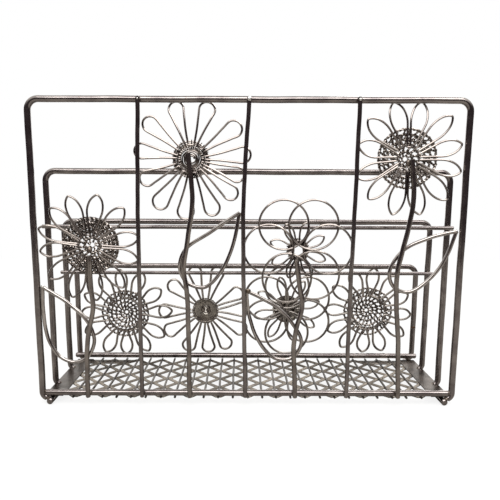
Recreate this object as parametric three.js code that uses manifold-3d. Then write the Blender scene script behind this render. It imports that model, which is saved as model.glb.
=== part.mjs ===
// Desktop file sorter of welded wire: four stepped hoops stand on two runners and an expanded-metal
// base, and wire flowers fill the tallest and the shortest panel.
// Millimetres. +X is the length, +Y runs from the tallest hoop towards the shortest one, +Z is up.
// The origin is under the middle of the sorter, on the surface it stands on.

import * as THREE from 'three';
import { mergeVertices } from 'three/addons/utils/BufferGeometryUtils.js';
import Module from 'manifold-3d';

const wasm = await Module();
wasm.setup();

// ---- driving dimensions ------------------------------------------------------------------------

const LENGTH = 320;                          // over the outsides of the hoop posts
const GAP = 0.3;                             // room left between pieces that touch
const FRAME_R = 2.4;                         // radius of the hoop, rail and runner wire
const BAR_R = 1.6;                           // radius of the bars and crossbars
const STEM_R = 1.8;
const LEAF_R = 1.4;
const PETAL_R = 0.8;

const HOOP_TOPS = [229.5, 180, 138.8, 95.9];   // overall height of each hoop, tallest first
const HOOP_Y = [0, 30.5, 70.5, 102];             // each hoop's distance behind the tallest one
const POST_X = LENGTH / 2 - FRAME_R;             // middle of a post
const CORNER_R = 8;                              // bend at a hoop's top corners
const FOOT_R = 5;                                // bend that turns a post's foot in to the runner
const FOOT_TURN = THREE.MathUtils.degToRad(72);  // how far that bend turns
const FOOT_Z = 9.7;                              // height where the bend starts

const RUNNER_X = 152;
const RAIL_Z = 9.2;
const CROSSBAR_Z = { crossbar_2: 134.8, crossbar_3: 92.5 };
const CROSSBAR_PAST = 0.8;                   // how far a crossbar passes each post

const BASE_WIRE_R = 0.7;                     // thin wires that run front to back over the mesh
const BASE_WIRE_Z = 2 * FRAME_R + GAP + BASE_WIRE_R;
const BASE_WIRE_PAST = 0.8;                  // how far they pass the middle of each rail
const MESH_PITCH = 11.2;                     // half the length of one diamond, and the wire spacing
const MESH_ROW = 10.15;                      // half the depth of one diamond
const MESH_ROWS = 9;
const MESH_COLUMNS = 12;                     // wires on each side of the middle one
const MESH_STRAND = 2.6;                     // width of a strand
const MESH_THICKNESS = 1;
const SHEET_Z = 4.5;                         // the mesh hangs a little below its side margins
const MARGIN_Z = 2 * FRAME_R + GAP;          // the margins lie on the runners
const MESH_START = 2.6;                      // front edge of the mesh, behind the front rail
const MESH_END = MESH_START + MESH_ROW * MESH_ROWS;
const MARGIN_IN = 143;                       // the solid side margins run from here
const MARGIN_OUT = 157.4;                    // to here
const MARGIN_END = 94;
const MARGIN_LAP = 3;                        // width of sheet under each margin's inner edge
const SOLID_CORNER = 98;                     // the last rows are left uncut beyond this, at both ends

const BAR_Y = -(FRAME_R + GAP + BAR_R);      // bars lie against the outside of the tallest hoop
const STEM_Y = -(FRAME_R + GAP + STEM_R);
const TALL_PETAL_Y = -FRAME_R + PETAL_R;     // petals lie between the posts, behind the bars
const LEAF_Y = -FRAME_R + LEAF_R;
const REAR_RAIL_Y = HOOP_Y[3] - 2 * FRAME_R - GAP;
const SHORT_PETAL_Y = HOOP_Y[3] + FRAME_R + GAP + PETAL_R;   // the short panel's flowers lie behind
const SHORT_PETAL_Y_2 = SHORT_PETAL_Y + 2 * PETAL_R + GAP;   // its hoop, in two layers that cross
const PETAL_GAP = 0.9;                       // half the space between a petal's two inner ends
// One side of a petal: how far out, from 0 to 1, and how much of its full half width.
const PETAL_SIDE = [[0, 0], [0.32, 0.42], [0.64, 0.92], [0.88, 0.84]];

const STEEL = { color: 0x6b6158, roughness: 0.42, metalness: 1 };
const DARK_STEEL = { color: 0x3d3233, roughness: 0.4, metalness: 1 };
const BRIGHT_STEEL = { color: 0x8d867b, roughness: 0.38, metalness: 1 };

// Each bar follows four places down the tall panel, given as [x, z].
const BARS = {
  bar_1: [[-78.3, 228.6], [-80, 155], [-80.3, 82], [-80.3, 7]],
  bar_2: [[0.2, 228.6], [-3.6, 156], [-3.1, 83], [-1.6, 7]],
  bar_3: [[77.9, 228.6], [76.9, 150], [75.8, 91], [75.4, 7]],
};

// Each stem hangs from the middle of its flower and ends on the front rail, given as [x, z].
const STEMS = {
  stem_a: [[-116.6, 116], [-116.2, 95], [-115.4, 76], [-118.6, 60], [-121, 44], [-121.4, 25], [-121.5, 7]],
  stem_b: [[-43.5, 190], [-41, 168], [-41, 150], [-45, 124], [-47.4, 108], [-45.3, 88], [-44.3, 50],
    [-44.1, 7]],
  stem_c: [[35.6, 113], [38.4, 92], [40.3, 78], [36.6, 62], [34.5, 48], [35.6, 27], [36.1, 7]],
  stem_d: [[116.6, 186], [119, 157], [117.4, 142], [112.4, 118], [109.6, 98], [113, 50], [114.8, 7]],
};

// A leaf is a loop of wire: its upper and its lower side both run from the tip to a shared end
// on the far side of the stem.
const LEAVES = {
  leaf_a: {
    upper: [[-153.2, 92], [-136, 80.6], [-121, 66], [-116, 51]],
    lower: [[-153.2, 92], [-153.2, 71], [-150, 50], [-142.4, 37.8], [-132.5, 33.6], [-122.5, 37], [-116, 51]],
  },
  leaf_b: {
    upper: [[-6.4, 147.4], [-26.5, 134], [-46, 120.4], [-50.8, 108]],
    lower: [[-6.4, 147.4], [-10.4, 127.2], [-19, 105.4], [-33, 91.8], [-46, 96], [-50.8, 108]],
  },
  leaf_c: {
    upper: [[-1, 89.6], [21.4, 77.2], [34.4, 63.4], [40.6, 50]],
    lower: [[-1, 89.6], [0.8, 71], [8.2, 51], [20.6, 37.4], [34, 37.6], [40.6, 50]],
  },
  leaf_d: {
    upper: [[153.2, 134.4], [133.4, 129.6], [113.7, 119.4], [105, 104.4]],
    lower: [[153.2, 134.4], [147, 116.4], [135.6, 99], [120.4, 89], [109, 92.4], [105, 104.4]],
  },
};

// Petals are loops of one continuous wire, bent by hand, so every petal has its own direction
// (degrees, turning from +X towards +Z). An inner radius says where the loops start.
const ROUND_FLOWERS = {
  a: {
    x: -116.8, z: 122.6, y: TALL_PETAL_Y, inner: 9, petal: 38.8, width: 5.1,
    directions: [111, 80, 46, 11, -17, -52, -84, -111, -141, -174, 161, 136],
    tip: [0, -1, -1, -2, -2, 0.4, 2, 2, 0, -2.2, 0, 0],
  },
  b: {
    x: -41.5, z: 185.6, y: TALL_PETAL_Y, inner: 11, petal: 42, width: 5.5,
    directions: [107, 71, 37, 8, -17, -41, -67, -96, -127, -156, 171, 140],
    tip: [-2.8, -2.6, 1, 1, -2, 0.6, 1.6, 1.4, 1.4, -2, -1, 1],
  },
  d: {
    x: 114.6, z: 186.6, y: TALL_PETAL_Y, inner: 9, petal: 40.2, width: 5.3,
    directions: [106, 76, 45, 15, -14, -44, -76, -103, -134, -160, 166, 137],
    tip: [-2.6, -2.2, 1.6, -1, -0.8, 1, 1, 1, -0.4, -1.6, -3, 0],
  },
  e: {
    x: -114.8, z: 46.8, y: SHORT_PETAL_Y, inner: 15.8, petal: 41.6, width: 5.4,
    directions: [94, 66, 34, 4, -30, -59, -88, -118, -154, 178, 153, 122],
    tip: [0.6, 1, 0, 3, 1, 0.4, -2.8, 0, 0.4, -1, 0, 0.6],
  },
  f: {
    x: -38.7, z: 49.4, y: SHORT_PETAL_Y_2, inner: 11, petal: 43, width: 5.8,
    directions: [105, 72, 30, 3, -27, -58, -86, -115, -151, 180, 141],
    tip: [1, 1, -3, -4, 0, -0.8, -3, -0.6, 1, 1, 1],
  },
  h: {
    x: 116, z: 49, y: SHORT_PETAL_Y_2, inner: 15.8, petal: 41.2, width: 5.4,
    directions: [85, 54, 25, -3, -34, -68, -97, -126, -154, 176, 145, 113],
    tip: [1, 1, -0.6, -1, 0, -1, -2, 1, 0.8, 0.6, 0.6, 1],
  },
};

// Ring flowers carry six round petals and, behind them, eight small pointed ones.
const RING_FLOWERS = {
  c: {
    x: 37, z: 119.6, y: TALL_PETAL_Y, ring: 18.2, offset: 22,
    turns: [120, 60, 3, -56, -112, 177],
    inner: 5, petal: 21.4, width: 2.6, turnInner: 27,
  },
  g: {
    x: 38.4, z: 51.4, y: SHORT_PETAL_Y, ring: 20.4, offset: 22.2,
    turns: [30, 90, 150, 210, 270, 330],
    inner: 8.4, petal: 31.4, width: 3.4, turnInner: 13,
  },
};

// Hubs: woven domes, flat coils, a ring and a spun cone, all bulging towards +Y.
const HUB_STEP = GAP + PETAL_R;              // from the middle of the petal wire to the hub
const HUBS = {
  a: { radius: 21, hole: 0, rise: 7, wall: 1.6 },
  b: { radius: 13.4, hole: 1.2, rise: 1.4, wall: 1.6 },
  c: { radius: 8.9, hole: 4, rise: 0.8, wall: 1.6 },
  d: { radius: 21.7, hole: 0, rise: 7, wall: 1.6 },
  e: { radius: 22.5, hole: 0, rise: 7, wall: 1.6 },
  f: { radius: 12.4, hole: 0, rise: 5, wall: 1.4 },
  g: { radius: 13.2, hole: 0, rise: 6, wall: 1.4 },
  h: { radius: 23.1, hole: 0, rise: 7, wall: 1.6 },
};

// ---- tools -------------------------------------------------------------------------------------

/** A wire's middle line through given places, sampled at exactly those places. */
class WireLine extends THREE.Curve {
  constructor(points) {
    super();
    this.points = points;
  }

  getPoint(t, target = new THREE.Vector3()) {
    const last = this.points.length - 1;
    const place = Math.min(t, 1) * last;
    const start = Math.min(Math.floor(place), last - 1);
    return target.lerpVectors(this.points[start], this.points[start + 1], place - start);
  }

  getTangent(t, target = new THREE.Vector3()) {
    const last = this.points.length - 1;
    const nearest = Math.round(t * last);
    const before = this.points[Math.max(nearest - 1, 0)];
    const after = this.points[Math.min(nearest + 1, last)];
    return target.subVectors(after, before).normalize();
  }

  getUtoTmapping(u) {
    return u;
  }
}

/** A regular polygon drawn round a circle, with flat sides facing the axes. */
function section(radius, sides) {
  const corner = radius / Math.cos(Math.PI / sides);
  const points = [];
  for (let i = 0; i < sides; i += 1) {
    const angle = ((i + 0.5) * 2 * Math.PI) / sides;
    points.push(new THREE.Vector2(corner * Math.cos(angle), corner * Math.sin(angle)));
  }
  return new THREE.Shape(points);
}

/** A solid wire along a list of places. */
function wire(points, radius, sides = 8) {
  const options = { steps: points.length - 1, extrudePath: new WireLine(points), bevelEnabled: false };
  return new THREE.ExtrudeGeometry(section(radius, sides), options);
}

/** A straight wire between two places. */
function rod(from, to, radius) {
  return wire([new THREE.Vector3(...from), new THREE.Vector3(...to)], radius);
}

/** Places along a smooth curve through [x, z] pairs, all at one depth y. */
function smooth(pairs, y, steps) {
  const places = pairs.map(([x, z]) => new THREE.Vector3(x, y, z));
  return new THREE.CatmullRomCurve3(places, false, 'centripetal').getPoints(steps);
}

/** A closed geometry as a manifold solid, for joining and cutting. */
function toSolid(geometry) {
  const bare = geometry.clone();
  bare.deleteAttribute('normal');
  bare.deleteAttribute('uv');
  const merged = mergeVertices(bare, 1e-4);
  return new wasm.Manifold(new wasm.Mesh({
    numProp: 3,
    vertProperties: new Float32Array(merged.attributes.position.array),
    triVerts: new Uint32Array(merged.index.array),
  }));
}

/** A manifold solid back as a geometry. */
function toGeometry(solid) {
  const mesh = solid.getMesh();
  const geometry = new THREE.BufferGeometry();
  geometry.setAttribute('position', new THREE.BufferAttribute(mesh.vertProperties, 3));
  geometry.setIndex(new THREE.BufferAttribute(mesh.triVerts, 1));
  geometry.computeVertexNormals();
  return geometry;
}

/** Several overlapping geometries welded into one. */
function weld(geometries) {
  const joined = geometries.map(toSolid).reduce((all, next) => all.add(next));
  return toGeometry(joined);
}

/** A geometry with others cut away from it. */
function cut(geometry, cutters) {
  const rest = cutters.map(toSolid).reduce((left, next) => left.subtract(next), toSolid(geometry));
  return toGeometry(rest);
}

/** A flat plate drawn in X and Y, standing from z = bottom. */
function plate(shape, bottom, thickness) {
  const geometry = new THREE.ExtrudeGeometry(shape, { depth: thickness, bevelEnabled: false });
  return geometry.translate(0, 0, bottom);
}

const group = new THREE.Group();

function addPiece(name, geometry, finish) {
  const mesh = new THREE.Mesh(geometry, new THREE.MeshStandardMaterial(finish));
  mesh.name = name;
  group.add(mesh);
}

// ---- hoops -------------------------------------------------------------------------------------

/** Places along an arc in X and Z round a centre, angles in radians from +X towards +Z. */
function arc(cx, cz, radius, from, to, steps, y) {
  const places = [];
  for (let i = 0; i <= steps; i += 1) {
    const angle = from + ((to - from) * i) / steps;
    places.push(new THREE.Vector3(cx + radius * Math.cos(angle), y, cz + radius * Math.sin(angle)));
  }
  return places;
}

/** One hoop: foot, post, corner, top rail and back down, with extra thickness for a cutter. */
function hoop(index, extra = 0) {
  const y = HOOP_Y[index];
  const top = HOOP_TOPS[index] - FRAME_R - CORNER_R;
  const footX = POST_X - FOOT_R;
  const cornerX = POST_X - CORNER_R;
  const places = [
    ...arc(-footX, FOOT_Z, FOOT_R, Math.PI + FOOT_TURN, Math.PI, 4, y),
    ...arc(-cornerX, top, CORNER_R, Math.PI, Math.PI / 2, 5, y),
    ...arc(cornerX, top, CORNER_R, Math.PI / 2, 0, 5, y),
    ...arc(footX, FOOT_Z, FOOT_R, 0, -FOOT_TURN, 4, y),
  ];
  return wire(places, FRAME_R + extra);
}

HOOP_Y.forEach((y, index) => {
  addPiece(`hoop_${index + 1}`, hoop(index), index === 0 ? DARK_STEEL : STEEL);
});

// ---- rails, runners, crossbars and bars --------------------------------------------------------

const inside = POST_X - FRAME_R - GAP;
const frontRail = rod([-inside, 0, RAIL_Z], [inside, 0, RAIL_Z], FRAME_R);
addPiece('front_rail', cut(frontRail, [hoop(0, GAP)]), BRIGHT_STEEL);

const rearEnd = LENGTH / 2;
const rearRail = rod([-rearEnd, REAR_RAIL_Y, RAIL_Z], [rearEnd, REAR_RAIL_Y, RAIL_Z], FRAME_R);
addPiece('rear_rail', rearRail, BRIGHT_STEEL);

for (const [name, side] of [['runner_left', -1], ['runner_right', 1]]) {
  const x = side * RUNNER_X;
  const ends = [[x, -FRAME_R, FRAME_R], [x, HOOP_Y[3] + FRAME_R, FRAME_R]];
  addPiece(name, rod(ends[0], ends[1], FRAME_R), STEEL);
}

for (const [name, index] of [['crossbar_2', 1], ['crossbar_3', 2]]) {
  const y = HOOP_Y[index] - FRAME_R - GAP - BAR_R;
  const z = CROSSBAR_Z[name];
  const end = LENGTH / 2 + CROSSBAR_PAST;
  addPiece(name, rod([-end, y, z], [end, y, z], BAR_R), STEEL);
}

for (const [name, pairs] of Object.entries(BARS)) {
  addPiece(name, wire(smooth(pairs, BAR_Y, 6), BAR_R), STEEL);
}

// ---- stems and leaves --------------------------------------------------------------------------

for (const [name, pairs] of Object.entries(STEMS)) {
  addPiece(name, wire(smooth(pairs, STEM_Y, 2 * pairs.length), STEM_R), DARK_STEEL);
}

for (const [name, sides] of Object.entries(LEAVES)) {
  const upper = wire(smooth(sides.upper, LEAF_Y, 8), LEAF_R, 6);
  const lower = wire(smooth(sides.lower, LEAF_Y, 12), LEAF_R, 6);
  addPiece(name, weld([upper, lower]), STEEL);
}

// ---- flowers -----------------------------------------------------------------------------------

/** The places of one looped petal, from one inner end round the tip to the other. */
function petalPlaces(flower, direction, tip) {
  const angle = THREE.MathUtils.degToRad(direction);
  const length = flower.petal + tip - flower.inner;
  const sides = [
    ...PETAL_SIDE.map(([out, wide]) => [out, wide, 1]),
    [1, 0, 0],
    ...PETAL_SIDE.toReversed().map(([out, wide]) => [out, wide, -1]),
  ];
  return sides.map(([out, wide, side]) => {
    const along = flower.inner + length * out;
    const across = side * (flower.width * wide + PETAL_GAP * (1 - out));
    return new THREE.Vector3(
      flower.x + along * Math.cos(angle) - across * Math.sin(angle),
      flower.y,
      flower.z + along * Math.sin(angle) + across * Math.cos(angle),
    );
  });
}

/** A rosette of looped petals from one wire, which turns back near the hub between two petals. */
function rosette(flower) {
  const places = flower.directions.flatMap((direction, i) => petalPlaces(flower, direction, flower.tip[i]));
  return wire(places, PETAL_R, 4);
}

/** Six overlapping wire rings round a flower's middle, welded where they cross. */
function rings(flower) {
  const corner = [
    new THREE.Vector2(flower.ring - PETAL_R, -PETAL_R),
    new THREE.Vector2(flower.ring + PETAL_R, -PETAL_R),
    new THREE.Vector2(flower.ring + PETAL_R, PETAL_R),
    new THREE.Vector2(flower.ring - PETAL_R, PETAL_R),
  ];
  const copies = [];
  for (const turn of flower.turns) {
    const angle = THREE.MathUtils.degToRad(turn);
    const ring = new THREE.LatheGeometry([...corner, corner[0]], 16);
    ring.translate(
      flower.x + flower.offset * Math.cos(angle),
      flower.y,
      flower.z + flower.offset * Math.sin(angle),
    );
    copies.push(ring);
  }
  return weld(copies);
}

/** A hub: a thin dome whose rim lies at y = back and whose middle bulges to +Y. */
function hub(shape, x, back, z) {
  const steps = 3;
  const outer = [];
  const inner = [];
  for (let i = 0; i <= steps; i += 1) {
    const share = i / steps;
    const radius = shape.hole + (shape.radius - shape.hole) * share;
    const height = shape.rise * (1 - share ** 2);
    outer.push(new THREE.Vector2(radius, height + shape.wall));
    inner.unshift(new THREE.Vector2(radius, height));
  }
  const profile = [...outer, ...inner];
  if (shape.hole > 0) {
    profile.push(outer[0]);
  }
  profile.reverse();
  return new THREE.LatheGeometry(profile, 14).translate(x, back, z);
}

for (const [letter, flower] of Object.entries(ROUND_FLOWERS)) {
  addPiece(`petals_${letter}`, rosette(flower), STEEL);
}

for (const [letter, flower] of Object.entries(RING_FLOWERS)) {
  const step = 2 * PETAL_R + GAP;
  const small = {
    ...flower,
    y: flower.y + step,
    directions: [0, 1, 2, 3, 4, 5, 6, 7].map((i) => flower.turnInner - 45 * i),
    tip: new Array(8).fill(0),
  };
  addPiece(`petals_${letter}`, rings(flower), STEEL);
  addPiece(`inner_petals_${letter}`, rosette(small), STEEL);
}

for (const [letter, shape] of Object.entries(HUBS)) {
  const flower = ROUND_FLOWERS[letter] ?? RING_FLOWERS[letter];
  const behind = letter in RING_FLOWERS ? 2 * PETAL_R + GAP : 0;
  addPiece(`hub_${letter}`, hub(shape, flower.x, flower.y + behind + HUB_STEP, flower.z), DARK_STEEL);
}

// ---- base --------------------------------------------------------------------------------------

/** A plate from x = left to right and y = start to end. */
function rectangle(left, right, start, end) {
  return new THREE.Shape([
    new THREE.Vector2(left, start),
    new THREE.Vector2(right, start),
    new THREE.Vector2(right, end),
    new THREE.Vector2(left, end),
  ]);
}

/** The expanded metal between the side margins: a sheet with rows of diamond openings. */
function meshSheet() {
  // Half a strand is taken off the diamond's sides, measured along each half diagonal.
  const side = Math.hypot(MESH_PITCH, MESH_ROW);
  const halfLength = MESH_PITCH - (MESH_STRAND / 2) * (side / MESH_ROW);
  const halfDepth = MESH_ROW - (MESH_STRAND / 2) * (side / MESH_PITCH);
  const diamond = new THREE.Shape([
    new THREE.Vector2(halfLength, 0),
    new THREE.Vector2(0, halfDepth),
    new THREE.Vector2(-halfLength, 0),
    new THREE.Vector2(0, -halfDepth),
  ]);
  const openings = [];
  for (let row = 0; row <= MESH_ROWS; row += 1) {
    for (let column = -MESH_COLUMNS; column <= MESH_COLUMNS; column += 1) {
      const uncut = row >= MESH_ROWS - 1 && Math.abs(column) * MESH_PITCH > SOLID_CORNER;
      if ((row + column) % 2 !== 0 && !uncut) {
        const opening = plate(diamond, SHEET_Z - 1, MESH_THICKNESS + 2);
        openings.push(opening.translate(column * MESH_PITCH, MESH_START + row * MESH_ROW, 0));
      }
    }
  }
  const reach = MARGIN_IN + MARGIN_LAP;
  return cut(plate(rectangle(-reach, reach, MESH_START, MESH_END), SHEET_Z, MESH_THICKNESS), openings);
}

/** A solid side margin of the sheet, lying on a runner. */
function margin(side) {
  const ends = [side * MARGIN_IN, side * MARGIN_OUT].sort((a, b) => a - b);
  return plate(rectangle(ends[0], ends[1], MESH_START, MARGIN_END), MARGIN_Z, MESH_THICKNESS);
}

/** Thin square wires over the sheet, from below the front rail to below the rear rail. */
function baseWires() {
  const start = -BASE_WIRE_PAST;
  const end = REAR_RAIL_Y + BASE_WIRE_PAST;
  const places = [-RUNNER_X, RUNNER_X];
  for (let column = -MESH_COLUMNS; column <= MESH_COLUMNS; column += 1) {
    places.push(column * MESH_PITCH);
  }
  return places.map((x) => wire([
    new THREE.Vector3(x, start, BASE_WIRE_Z),
    new THREE.Vector3(x, end, BASE_WIRE_Z),
  ], BASE_WIRE_R, 4));
}

const sheet = weld([meshSheet(), margin(-1), margin(1), ...baseWires()]);
addPiece('base_mesh', cut(sheet, [0, 1, 2, 3].map((index) => hoop(index, GAP))), BRIGHT_STEEL);

// The group is moved so that the origin lies under the middle of the whole sorter.
group.updateMatrixWorld(true);
const box = new THREE.Box3().setFromObject(group);
group.position.y = -(box.min.y + box.max.y) / 2;

export default group;
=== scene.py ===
"""Looks for the desktop file sorter: round lacquered wire, woven flower hubs and an expanded-metal base.

The object's own lengths are in millimetres until a mesh is made, and the floor and the lights are placed in
metres. +X is the length, +Y runs from the tallest hoop towards the shortest one, and +Z is up.
"""

import itertools
import math

import bmesh
import bpy
import numpy as np
from mathutils import Matrix, Vector, noise


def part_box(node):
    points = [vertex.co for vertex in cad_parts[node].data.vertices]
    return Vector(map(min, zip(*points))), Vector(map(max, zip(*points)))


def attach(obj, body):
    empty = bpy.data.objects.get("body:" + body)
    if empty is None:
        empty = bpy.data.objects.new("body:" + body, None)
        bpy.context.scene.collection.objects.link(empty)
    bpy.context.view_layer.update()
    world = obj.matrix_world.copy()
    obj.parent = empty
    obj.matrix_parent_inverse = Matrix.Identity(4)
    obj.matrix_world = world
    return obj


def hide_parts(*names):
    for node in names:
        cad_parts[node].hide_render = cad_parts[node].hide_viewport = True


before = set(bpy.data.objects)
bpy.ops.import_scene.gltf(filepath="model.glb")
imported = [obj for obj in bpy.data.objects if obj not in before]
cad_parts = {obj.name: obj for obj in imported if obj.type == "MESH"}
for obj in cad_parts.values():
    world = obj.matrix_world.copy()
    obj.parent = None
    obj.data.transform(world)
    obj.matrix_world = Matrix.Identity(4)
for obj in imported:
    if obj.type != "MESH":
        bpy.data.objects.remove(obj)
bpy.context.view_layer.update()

MM = 0.001
TAU = 2 * math.pi
rng = np.random.default_rng(7)


# ---- where the CAD pieces are ----------------------------------------------------------------------

def corners(node):
    """Lowest and highest corner of a CAD node, in millimetres."""
    low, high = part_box(node)
    return np.array(low) / MM, np.array(high) / MM


def middle(node):
    """The middle of a CAD node's box, in millimetres."""
    low, high = corners(node)
    return (low + high) / 2


def wire_radius(node):
    """The radius of a flat wire shape's wire, which is half the depth of its box."""
    low, high = corners(node)
    return (high[1] - low[1]) / 2


HOOPS = ["hoop_1", "hoop_2", "hoop_3", "hoop_4"]
FRONT = middle("hoop_1")[1]                  # depth of the tall panel
BACK = middle("hoop_4")[1]                   # depth of the short panel
HALF = corners("hoop_1")[1][0]               # half the length over the posts
TOP = corners("hoop_1")[1][2]                # height of the tall panel
FRAME_R = wire_radius("hoop_1")
BAR_R = wire_radius("bar_1")
STEM_R = wire_radius("stem_a")
LEAF_R = wire_radius("leaf_a")
PETAL_R = wire_radius("petals_a")
CORNER_R = 8                                 # bend between a post and its top rail
FOOT_R = 5                                   # bend between a post and its runner
FOOT_TURN = math.radians(72)
FOOT_Z = 9.7                                 # height of that bend's centre


# ---- materials -------------------------------------------------------------------------------------

class Shading:
    """Adds nodes to one material or world, and links them."""

    def __init__(self, owner):
        owner.use_nodes = True
        self.nodes = owner.node_tree.nodes
        self.links = owner.node_tree.links

    def feed(self, value, socket):
        """Gives a socket another node's output, a colour or a number."""
        if isinstance(value, bpy.types.NodeSocket):
            self.links.new(value, socket)
        elif isinstance(value, tuple):
            socket.default_value = (*value, 1)
        else:
            socket.default_value = value

    def noise(self, place, scale, detail, distortion=0.0):
        node = self.nodes.new("ShaderNodeTexNoise")
        node.inputs["Scale"].default_value = scale
        node.inputs["Detail"].default_value = detail
        node.inputs["Distortion"].default_value = distortion
        self.links.new(place, node.inputs["Vector"])
        return node.outputs["Fac"]

    def ramp(self, source, low, high, start=0.0, end=1.0, eased=False):
        """Turns the stretch from low to high into the stretch from start to end."""
        node = self.nodes.new("ShaderNodeMapRange")
        if eased:
            node.interpolation_type = "SMOOTHSTEP"
        node.inputs["From Min"].default_value = low
        node.inputs["From Max"].default_value = high
        node.inputs["To Min"].default_value = start
        node.inputs["To Max"].default_value = end
        self.links.new(source, node.inputs["Value"])
        return node.outputs["Result"]

    def times(self, first, second):
        node = self.nodes.new("ShaderNodeMath")
        node.operation = "MULTIPLY"
        self.feed(first, node.inputs[0])
        self.feed(second, node.inputs[1])
        return node.outputs[0]

    def mix(self, share, first, second, blend_type="MIX"):
        """Blends two colours, by the share of the second."""
        node = self.nodes.new("ShaderNodeMix")
        node.data_type = "RGBA"
        node.blend_type = blend_type
        self.feed(share, node.inputs["Factor"])
        self.feed(first, node.inputs["A"])
        self.feed(second, node.inputs["B"])
        return node.outputs["Result"]

    def finish(self, share, first, second, output):
        """Blends two shaders, by the share of the second, into the output node."""
        node = self.nodes.new("ShaderNodeMixShader")
        self.links.new(share, node.inputs["Fac"])
        self.links.new(first, node.inputs[1])
        self.links.new(second, node.inputs[2])
        self.links.new(node.outputs["Shader"], self.nodes[output].inputs["Surface"])

    def camera_ray(self):
        """1 where the camera looks straight at the surface, and 0 where metal mirrors or lights it."""
        return self.nodes.new("ShaderNodeLightPath").outputs["Is Camera Ray"]


# Noise scales, in features per metre.
BLOTCHES = 70
GLOSS = 160
SPECKS = 420
GRAIN = 1900
GRAIN_STRENGTH = 0.06
GRAIN_DEPTH = 0.00008
CLEAR_ROUGHNESS = 0.12
RUST = (0.16, 0.07, 0.035)


def lacquer(name, dark, light, roughness, rust_share=0.25, clear=0.5):
    """Aged pewter lacquer on steel: blotched colour, uneven gloss, fine grain and rusty specks.

    Its colour runs from dark to light and its roughness between the two values given. rust_share is how
    rusty the specks are, and clear is the weight of the clear coat on top.
    """
    material = bpy.data.materials.new(name)
    shading = Shading(material)
    shader = shading.nodes["Principled BSDF"]
    shader.inputs["Metallic"].default_value = 1.0
    shader.inputs["Coat Weight"].default_value = clear
    shader.inputs["Coat Roughness"].default_value = CLEAR_ROUGHNESS
    place = shading.nodes.new("ShaderNodeTexCoord").outputs["Object"]

    blotches = shading.ramp(shading.noise(place, BLOTCHES, 5, 0.6), 0.36, 0.66)
    specks = shading.ramp(shading.noise(place, SPECKS, 3), 0.63, 0.72)
    coat = shading.mix(blotches, dark, light)
    colour = shading.mix(shading.times(specks, rust_share), coat, RUST)
    shading.links.new(colour, shader.inputs["Base Color"])

    gloss = shading.ramp(shading.noise(place, GLOSS, 4, 0.3), 0, 1, *roughness)
    shading.links.new(gloss, shader.inputs["Roughness"])

    bump = shading.nodes.new("ShaderNodeBump")
    bump.inputs["Strength"].default_value = GRAIN_STRENGTH
    bump.inputs["Distance"].default_value = GRAIN_DEPTH
    shading.links.new(shading.noise(place, GRAIN, 2), bump.inputs["Height"])
    shading.links.new(bump.outputs["Normal"], shader.inputs["Normal"])
    return material


FRAME_COAT = lacquer("pewter_frame", (0.15, 0.127, 0.124), (0.27, 0.24, 0.226), (0.13, 0.26))
FLOWER_COAT = lacquer("pewter_flower", (0.16, 0.136, 0.126), (0.30, 0.265, 0.24), (0.13, 0.26))
HUB_COAT = lacquer("pewter_hub", (0.16, 0.138, 0.126), (0.36, 0.32, 0.29), (0.14, 0.3))
# Painted highlight: the leaves get a lighter copy of the same pewter, so the highlight along their wires
# reads brighter.
LEAF_HIGHLIGHT_COAT = lacquer("pewter_leaf_painted_highlight", (0.24, 0.212, 0.2), (0.5, 0.46, 0.43), (0.08, 0.16))
# Painted light: the short panel's petals get a lighter copy of the same pewter, which stands in for the
# brighter light that falls on them.
FAR_LIT_COAT = lacquer("pewter_far_flower_painted_light", (0.26, 0.235, 0.215), (0.46, 0.42, 0.385), (0.2, 0.34))
# Painted highlight: the cups get a much lighter copy of the pewter, which stands in for the bright highlights
# on their rings of wire.
CUP_HIGHLIGHT_COAT = lacquer("pewter_cup_painted_highlight", (0.3, 0.27, 0.24), (0.66, 0.62, 0.56), (0.12, 0.24))
MESH_COAT = lacquer("pewter_mesh", (0.13, 0.114, 0.095), (0.36, 0.32, 0.275), (0.24, 0.4), 0.25, 0.4)
WIRE_COAT = lacquer("pewter_mesh_wire", (0.07, 0.06, 0.052), (0.15, 0.132, 0.116), (0.3, 0.45), 0.25, 0.2)
MARGIN_COAT = lacquer("pewter_margin", (0.055, 0.044, 0.036), (0.12, 0.1, 0.085), (0.3, 0.5), 0.4, 0.1)
WELD_COAT = lacquer("weld_bead", (0.12, 0.098, 0.088), (0.3, 0.255, 0.21), (0.42, 0.62), 0.6, 0.05)
BRIGHT_CUT = lacquer("bright_cut", (0.72, 0.70, 0.66), (0.92, 0.90, 0.86), (0.2, 0.34), 0.15)
BRASSY = lacquer("brassy_weld", (0.12, 0.09, 0.065), (0.22, 0.175, 0.13), (0.3, 0.5), 0.4)
RUSTY = lacquer("rust_patch", (0.10, 0.045, 0.02), (0.20, 0.10, 0.045), (0.5, 0.7), 0.9)


# ---- mesh tools ------------------------------------------------------------------------------------

SHARP_EDGE = math.radians(42)


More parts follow.
